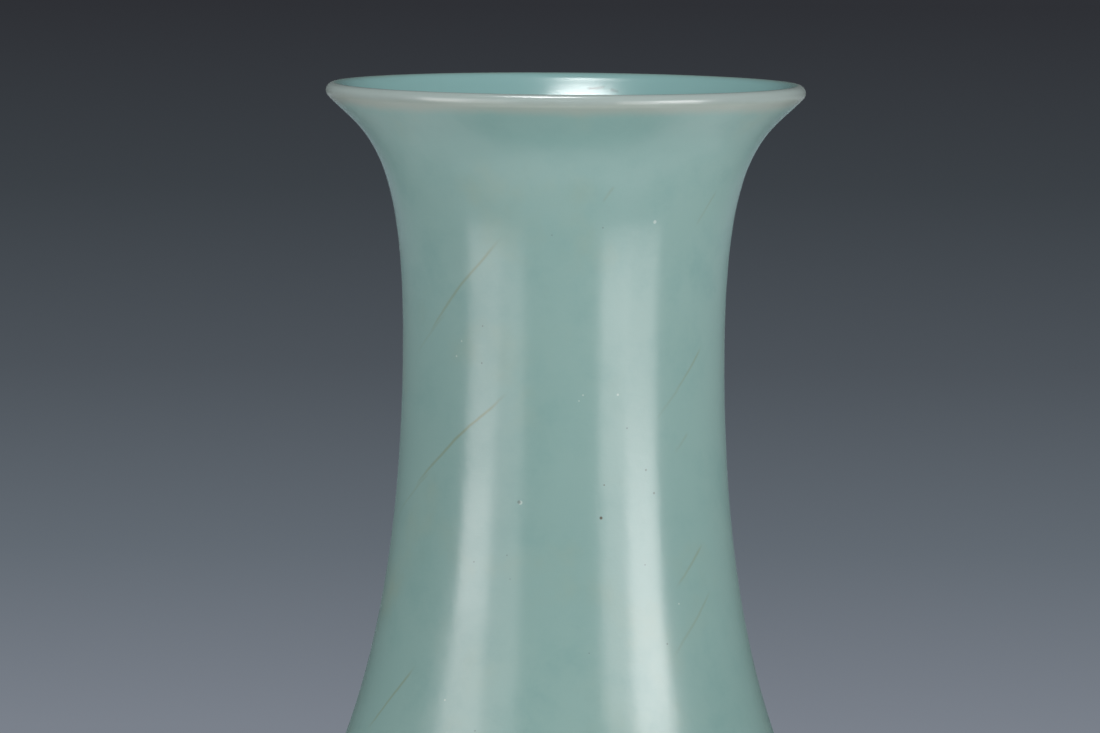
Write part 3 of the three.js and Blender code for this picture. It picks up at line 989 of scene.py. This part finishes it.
def make_camera():
    data = bpy.data.cameras.new("camera")
    data.sensor_width = SENSOR
    data.lens = SENSOR * CAMERA_DISTANCE / VIEW_WIDTH
    data.clip_start, data.clip_end = CLIP
    camera = bpy.data.objects.new("camera", data)
    bpy.context.scene.collection.objects.link(camera)
    rim = Vector((0, 0, HEIGHT - LIP_THICKNESS / 2))
    back = Vector((0, -math.cos(CAMERA_ELEVATION), math.sin(CAMERA_ELEVATION)))
    camera.location = rim + back * CAMERA_DISTANCE
    target = rim + Vector((-AIM_LEFT, 0, -AIM_DROP))
    look = (target - camera.location).to_track_quat("-Z", "Y")
    camera.rotation_mode = "QUATERNION"
    camera.rotation_quaternion = look @ Euler((0, 0, ROLL)).to_quaternion()
    bpy.context.scene.camera = camera


def area_light(name, shape, size, radiance, colour=(1, 1, 1)):
    """A softbox of an even radiance, which the camera doesn't see."""
    data = bpy.data.lights.new(name, "AREA")
    data.shape = shape
    data.size, data.size_y = size
    data.energy = (math.pi if shape == "ELLIPSE" else 4) * radiance * data.size * data.size_y
    data.color = colour
    lamp = bpy.data.objects.new(name, data)
    bpy.context.scene.collection.objects.link(lamp)
    lamp.visible_camera = False
    return lamp


def panel(name, azimuth, width, low, high, radiance):
    """A flat softbox seen from the neck between two elevations, in degrees like its other angles.

    Azimuth 0 is the camera's side and + is to the right.
    """
    half = math.radians(high - low) / 2
    a, e = math.radians(azimuth), math.radians((high + low) / 2)
    size = [2 * PANEL_DISTANCE * math.tan(angle) for angle in (math.radians(width) / 2, half)]
    lamp = area_light(name, "RECTANGLE", size, radiance, PANEL_COLOUR)
    out = Vector((math.sin(a) * math.cos(e), -math.cos(a) * math.cos(e), math.sin(e)))
    lamp.location = Vector((0, 0, NECK_MIDDLE)) + out * PANEL_DISTANCE
    lamp.rotation_mode = "QUATERNION"
    lamp.rotation_quaternion = (-out).to_track_quat("-Z", "Y")


def level_panel(name, low, high, z, radiance, facing_up):
    """A level softbox between two corners (x, y): a round one overhead, or a card on the table."""
    size = (high[0] - low[0], high[1] - low[1])
    lamp = area_light(name, "RECTANGLE" if facing_up else "ELLIPSE", size, radiance)
    lamp.location = ((low[0] + high[0]) / 2, (low[1] + high[1]) / 2, z)
    lamp.rotation_euler = (math.pi if facing_up else 0, 0, 0)


def make_world():
    """A plain studio background: dark above, and palest a little below the horizon."""
    world = bpy.data.worlds.new("studio")
    bpy.context.scene.world = world
    world.use_nodes = True
    tree = world.node_tree
    tree.nodes.clear()
    nodes = Nodes(tree)
    direction = nodes.add("ShaderNodeTexCoord").outputs["Generated"]
    split = nodes.add("ShaderNodeSeparateXYZ")
    nodes.put(split.inputs[0], direction)
    position = nodes.add("ShaderNodeMapRange")
    nodes.put(position.inputs["Value"], split.outputs["Z"])
    low, high = (math.sin(math.radians(BACKGROUND[end][0])) for end in (0, -1))
    position.inputs["From Min"].default_value = low
    position.inputs["From Max"].default_value = high
    ramp = nodes.add("ShaderNodeValToRGB")
    for _ in BACKGROUND[2:]:
        ramp.color_ramp.elements.new(0.5)
    for element, (degrees, colour) in zip(ramp.color_ramp.elements, BACKGROUND):
        element.position = (math.sin(math.radians(degrees)) - low) / (high - low)
        element.color = (*colour, 1.0)
    nodes.put(ramp.inputs[0], position.outputs["Result"])
    background = nodes.add("ShaderNodeBackground")
    nodes.put(background.inputs["Color"], ramp.outputs["Color"])
    output = nodes.add("ShaderNodeOutputWorld")
    tree.links.new(background.outputs[0], output.inputs[0])


def make_floor():
    """A round pale floor that fades out away from the vase."""
    mesh = bpy.data.meshes.new("floor")
    turns = [2 * math.pi * i / FLOOR_STEPS for i in range(FLOOR_STEPS)]
    ring = [(FLOOR_RADIUS * math.cos(turn), FLOOR_RADIUS * math.sin(turn), 0.0) for turn in turns]
    mesh.from_pydata(ring, [], [tuple(range(FLOOR_STEPS))])
    floor = bpy.data.objects.new("floor", mesh)
    bpy.context.scene.collection.objects.link(floor)
    material, nodes, shader = new_material("floor")
    position = nodes.add("ShaderNodeTexCoord").outputs["Object"]
    length = nodes.add("ShaderNodeVectorMath", operation="LENGTH")
    nodes.put(length.inputs[0], position)
    fade = nodes.ramp(length.outputs["Value"], *FLOOR_FADE)
    shader.inputs["Base Color"].default_value = (*FLOOR_COLOUR, 1)
    shader.inputs["Roughness"].default_value = 0.75
    clear = nodes.add("ShaderNodeBsdfTransparent")
    blend = nodes.add("ShaderNodeMixShader")
    nodes.put(blend.inputs[0], fade)
    nodes.tree.links.new(shader.outputs[0], blend.inputs[1])
    nodes.tree.links.new(clear.outputs[0], blend.inputs[2])
    output = next(n for n in nodes.tree.nodes if n.type == "OUTPUT_MATERIAL")
    nodes.tree.links.new(blend.outputs[0], output.inputs[0])
    mesh.materials.append(material)


make_camera()
make_world()
make_floor()
for row in PANELS:
    panel(*row)
level_panel("overhead", (-0.31, -0.23), (0.09, 0.08), HEIGHT + OVERHEAD_CLEAR, 16.5, facing_up=False)
for name, low, high, radiance in CARDS:
    level_panel(name, low, high, CARD_HEIGHT, radiance, facing_up=True)

bpy.context.scene.view_settings.view_transform = "Standard"
